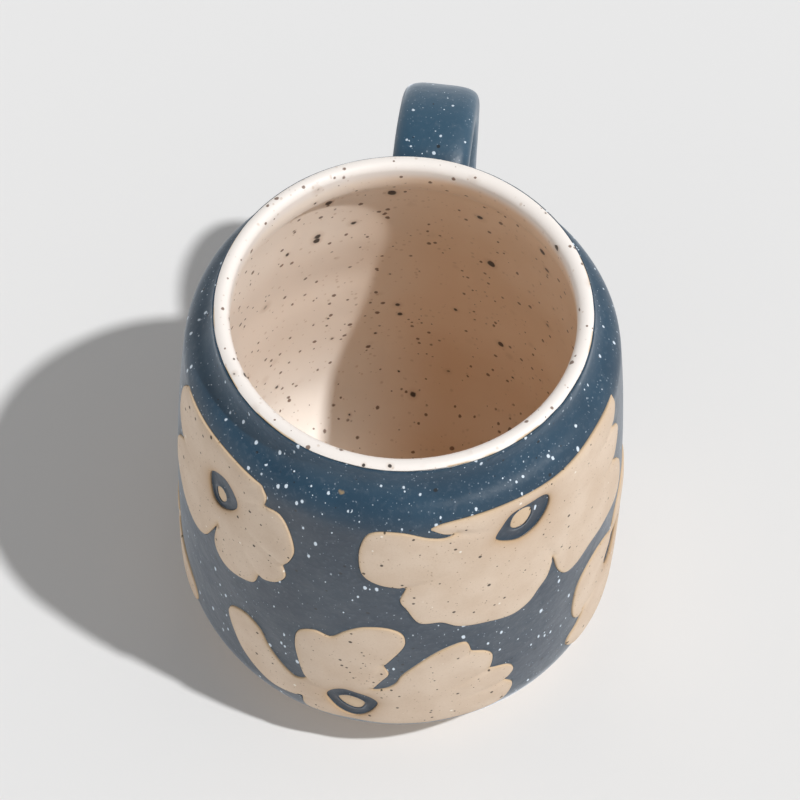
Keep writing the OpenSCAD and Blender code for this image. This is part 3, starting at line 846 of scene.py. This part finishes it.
def petals_piece(name):
    """One poppy's raised petals, with a hole for its glazed centre."""
    petals, centre, _ = OUTLINES[name]
    corners = [k for k, p in enumerate(POPPIES[name][2]) if len(p) == 3]
    notches = petals[[OUTLINE_STEPS * k for k in corners]]
    middle = centre.mean(0)

    def field(points):
        return np.minimum(inside_by(points, petals), -inside_by(points, centre))

    across, up = around(petals, 0.42)
    points, faces, border = trimmed_patch(across, up, field, [0, 0.1, 0.22, 0.4, 0.7])
    flat = points[:, :2]
    from_edge = np.maximum(inside_by(flat, petals), 0)
    from_hole = np.maximum(-inside_by(flat, centre), 0)
    near = np.maximum(points[:, 2], 0)
    # How far the petals dip towards the centre; the same value carries the painted shade there
    dip_and_shade = np.exp(-from_hole / 2.0)
    top = PETAL_TOP - 0.26 * np.exp(-from_edge / 1.8) - 0.55 * dip_and_shade - rounded(near, 0.28)
    top += 0.10 * ripple(flat[:, 0], flat[:, 1], 7, 2) - 0.06
    for notch in notches:
        run = middle - notch
        reach = min(0.55 * np.linalg.norm(run), 11)
        run /= np.linalg.norm(run)
        along = (flat - notch) @ run
        aside = np.abs((flat - notch) @ np.array([-run[1], run[0]]))
        fade = np.clip(1 - along / reach, 0, 1) * (along > -1)
        top -= 0.30 * fade * np.exp(-(aside / 0.9) ** 2)
    floor = np.full(len(points), SKIN_FLOOR)
    solid, all_faces = skin(points, faces, border, np.maximum(top, 0.02), floor)
    edge = np.exp(-near / 0.45)
    new_piece(name + "_petals", solid, all_faces, CLAY, [name],
              {"edge": np.tile(edge, 2), "dip_and_shade": np.tile(dip_and_shade, 2)})


def gathered(parts):
    """Several solids as one mesh."""
    points, faces, start = [], [], 0
    for p, f in parts:
        points.append(p)
        faces += [[i + start for i in face] for face in f]
        start += len(p)
    return np.vstack(points), faces


def poppy_centres():
    """Blue pools in the poppies' middles, and the clay dots that they leave bare."""
    pools, dots, pool_depth, dot_edge = [], [], [], []
    for _, centre, dot in OUTLINES.values():

        def pool_field(points):
            return np.minimum(inside_by(points, centre), -inside_by(points, dot))

        across, up = around(centre, 0.3)
        points, faces, border = trimmed_patch(across, up, pool_field, [0, 0.15, 0.4])
        flat = points[:, :2]
        from_wall = np.maximum(inside_by(flat, centre), 0)
        from_dot = np.maximum(-inside_by(flat, dot), 0)
        top = POOL_FLOOR + 0.34 * np.exp(-from_wall / 0.5) + 0.30 * np.exp(-(from_dot / 0.7) ** 2)
        top -= rounded(from_dot, 0.18)
        floor = np.full(len(points), POOL_BASE)
        pools.append(skin(points, faces, border, top, floor))
        pool_depth.append(np.tile(np.exp(-from_wall / 0.6), 2))

        across, up = around(dot, 0.3)
        points, faces, border = trimmed_patch(
            across, up, lambda points: inside_by(points, dot), [0, 0.15, 0.35])
        near = np.maximum(points[:, 2], 0)
        top = DOT_TOP - 0.12 * np.exp(-near / 0.5)
        dots.append(skin(points, faces, border, top, np.full(len(points), POOL_BASE)))
        dot_edge.append(np.tile(0.7 + 0.3 * np.exp(-near / 0.4), 2))
    points, faces = gathered(pools)
    new_piece("poppy_centre_pools", points, faces, BLUE, ["poppy_centre_glaze"],
              {"pool": np.concatenate(pool_depth)})
    points, faces = gathered(dots)
    edge = np.concatenate(dot_edge)
    new_piece("poppy_clay_dots", points, faces, CLAY, ["poppy_dots"],
              {"edge": edge, "dip_and_shade": np.zeros(len(edge))})


# Angles of the bends at which the strap's route ends, inside the wall
STRAP_END_TOP = 138
STRAP_END_LOW = -97
# Radius of the flare at the wall, and how far under its surface the strap's ends may reach
FLARE_R = 2.2
STRAP_SINK = 1.5
# 2 would give an oval section, and larger values a squarer one
STRAP_SQUARENESS = 3.6


def strap_route(step):
    """The strap's back, as [x, z] and outward directions, from inside the wall at the top
    to inside the wall at the bottom."""
    top_c = np.array([HANDLE_REACH - BEND_TOP, BEND_Z])
    low_c = np.array([HANDLE_REACH - BEND_LOW, BEND_Z - BEND_GAP])
    upper = np.arange(STRAP_END_TOP, 0, -math.degrees(step / BEND_TOP))
    lower = np.arange(0, STRAP_END_LOW, -math.degrees(step / BEND_LOW))
    middle = np.arange(BEND_Z, BEND_Z - BEND_GAP, -step)[1:]
    route = np.concatenate([
        top_c + polar(BEND_TOP, upper),
        np.stack([np.full(len(middle), HANDLE_REACH), middle], -1),
        low_c + polar(BEND_LOW, lower),
    ])
    out = np.concatenate([polar(1, upper), np.tile([1.0, 0.0], (len(middle), 1)), polar(1, lower)])
    return route, out


def beyond_wall(points):
    """How far out from the wall's surface, measured level, points are."""
    return np.hypot(points[:, 0], points[:, 1]) - np.interp(
        points[:, 2], OUTSIDE[:, 1], OUTSIDE[:, 0])


def strap_section(count):
    """The strap's section, as distances aside and in from its back, with soft corners."""
    turn = np.linspace(0, 2 * math.pi, count, endpoint=False)
    power = 2 / STRAP_SQUARENESS
    x = np.sign(np.cos(turn)) * np.abs(np.cos(turn)) ** power
    y = np.sign(np.sin(turn)) * np.abs(np.sin(turn)) ** power
    return x * STRAP_W / 2, STRAP_T / 2 - y * STRAP_T / 2


def strap_handle():
    """Glazed strap that flares a little where it was smoothed on to the wall."""
    route, out = strap_route(0.8)
    aside, inward = strap_section(72)
    middle = route - STRAP_T / 2 * out
    rings, centres = [], []
    for (x, z), (ox, oz), (mx, mz) in zip(route, out, middle):
        ring = np.stack([x - inward * ox, aside, z - inward * oz], -1)
        centre = np.array([mx, 0, mz])
        gap = np.clip(beyond_wall(ring), 0, FLARE_R)
        flare = FLARE_R - np.sqrt(FLARE_R**2 - (FLARE_R - gap) ** 2)
        away = ring - centre
        away /= np.linalg.norm(away, axis=1)[:, None]
        rings.append(ring + away * flare[:, None])
        centres.append(np.tile(centre, (len(aside), 1)))
    points = np.concatenate(rings)
    wave = np.array([noise.noise(p / 11) for p in points])
    away = points - np.concatenate(centres)
    away /= np.linalg.norm(away, axis=1)[:, None]
    points += away * (0.10 * wave - 0.10)[:, None]
    too_deep = np.minimum(beyond_wall(points) + STRAP_SINK, 0)
    radius = np.hypot(points[:, 0], points[:, 1])
    points[:, :2] *= (1 - too_deep / radius)[:, None]
    count, n = len(rings), len(aside)
    faces = []
    for k in range(count - 1):
        a, b = k * n, (k + 1) * n
        for i in range(n):
            j = (i + 1) % n
            faces.append([a + i, a + j, b + j, b + i])
    faces.append(list(range(n))[::-1])
    faces.append(list(range((count - 1) * n, count * n)))
    new_piece("glazed_strap", points, faces, BLUE, ["handle_glaze"],
              {"strap": np.clip(beyond_wall(points) / 6, 0, 1)})


def repaint(node, material):
    """A CAD node keeps its shape and gets a finished material."""
    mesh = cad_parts[node].data
    mesh.materials.clear()
    mesh.materials.append(material)


# --- studio ------------------------------------------------------------------


def studio_floor():
    """Plain round floor, far wider than the picture."""
    bm = bmesh.new()
    bmesh.ops.create_circle(bm, cap_ends=True, radius=4.0, segments=96)
    mesh = bpy.data.meshes.new("studio_floor")
    bm.to_mesh(mesh)
    bm.free()
    mesh.materials.append(table_top())
    floor = bpy.data.objects.new("studio_floor", mesh)
    bpy.context.scene.collection.objects.link(floor)


# Strength and direction of the sun, and the room's strength from the horizon to overhead
SUN_STRENGTH = 2.36
SUN_SPREAD = math.radians(2.2)
TO_SUN = Vector((-0.1625, -0.4989, 0.851))
HORIZON = 0.95
OVERHEAD = 0.10


def studio_light():
    """One high soft key from the right of the camera, and a pale room that dims overhead."""
    key = bpy.data.lights.new("key", "SUN")
    key.energy = SUN_STRENGTH
    key.angle = SUN_SPREAD
    lamp = bpy.data.objects.new("key", key)
    lamp.rotation_euler = TO_SUN.to_track_quat("Z", "Y").to_euler()
    bpy.context.scene.collection.objects.link(lamp)

    world = bpy.data.worlds.new("room")
    world.use_nodes = True
    tree = world.node_tree
    tree.nodes.clear()
    place = tree.nodes.new("ShaderNodeTexCoord")
    split = tree.nodes.new("ShaderNodeSeparateXYZ")
    ramp = tree.nodes.new("ShaderNodeMapRange")
    shade = tree.nodes.new("ShaderNodeBackground")
    output = tree.nodes.new("ShaderNodeOutputWorld")
    for socket, value in zip(ramp.inputs[1:5], (0.0, 1.0, HORIZON, OVERHEAD)):
        socket.default_value = value
    shade.inputs["Color"].default_value = (1, 1, 1, 1)
    tree.links.new(place.outputs["Generated"], split.inputs[0])
    tree.links.new(split.outputs["Z"], ramp.inputs[0])
    tree.links.new(ramp.outputs[0], shade.inputs["Strength"])
    tree.links.new(shade.outputs[0], output.inputs["Surface"])
    bpy.context.scene.world = world


def camera():
    """High in front of the mug, opposite its handle, as in the photograph."""
    lens = bpy.data.cameras.new("camera")
    lens.sensor_width = 36
    lens.lens = 144
    lens.clip_end = 20
    view = bpy.data.objects.new("camera", lens)
    place = Vector((-0.3653, -0.0359, 0.6413))
    target = Vector((0.01356, 0.00160, 0.050))
    roll = Quaternion((0, 0, 1), math.radians(1.62))
    view.location = place
    view.rotation_euler = ((target - place).to_track_quat("-Z", "Y") @ roll).to_euler()
    bpy.context.scene.collection.objects.link(view)
    bpy.context.scene.camera = view


camera()
studio_light()
studio_floor()
stoneware_body()
cream_liner()
blue_wall()
for poppy_name in POPPIES:
    petals_piece(poppy_name)
poppy_centres()
strap_handle()
repaint("handle", CLAY)
repaint("slip_joint_upper", SLIP)
repaint("slip_joint_lower", SLIP)
bpy.context.scene.view_settings.view_transform = "Standard"
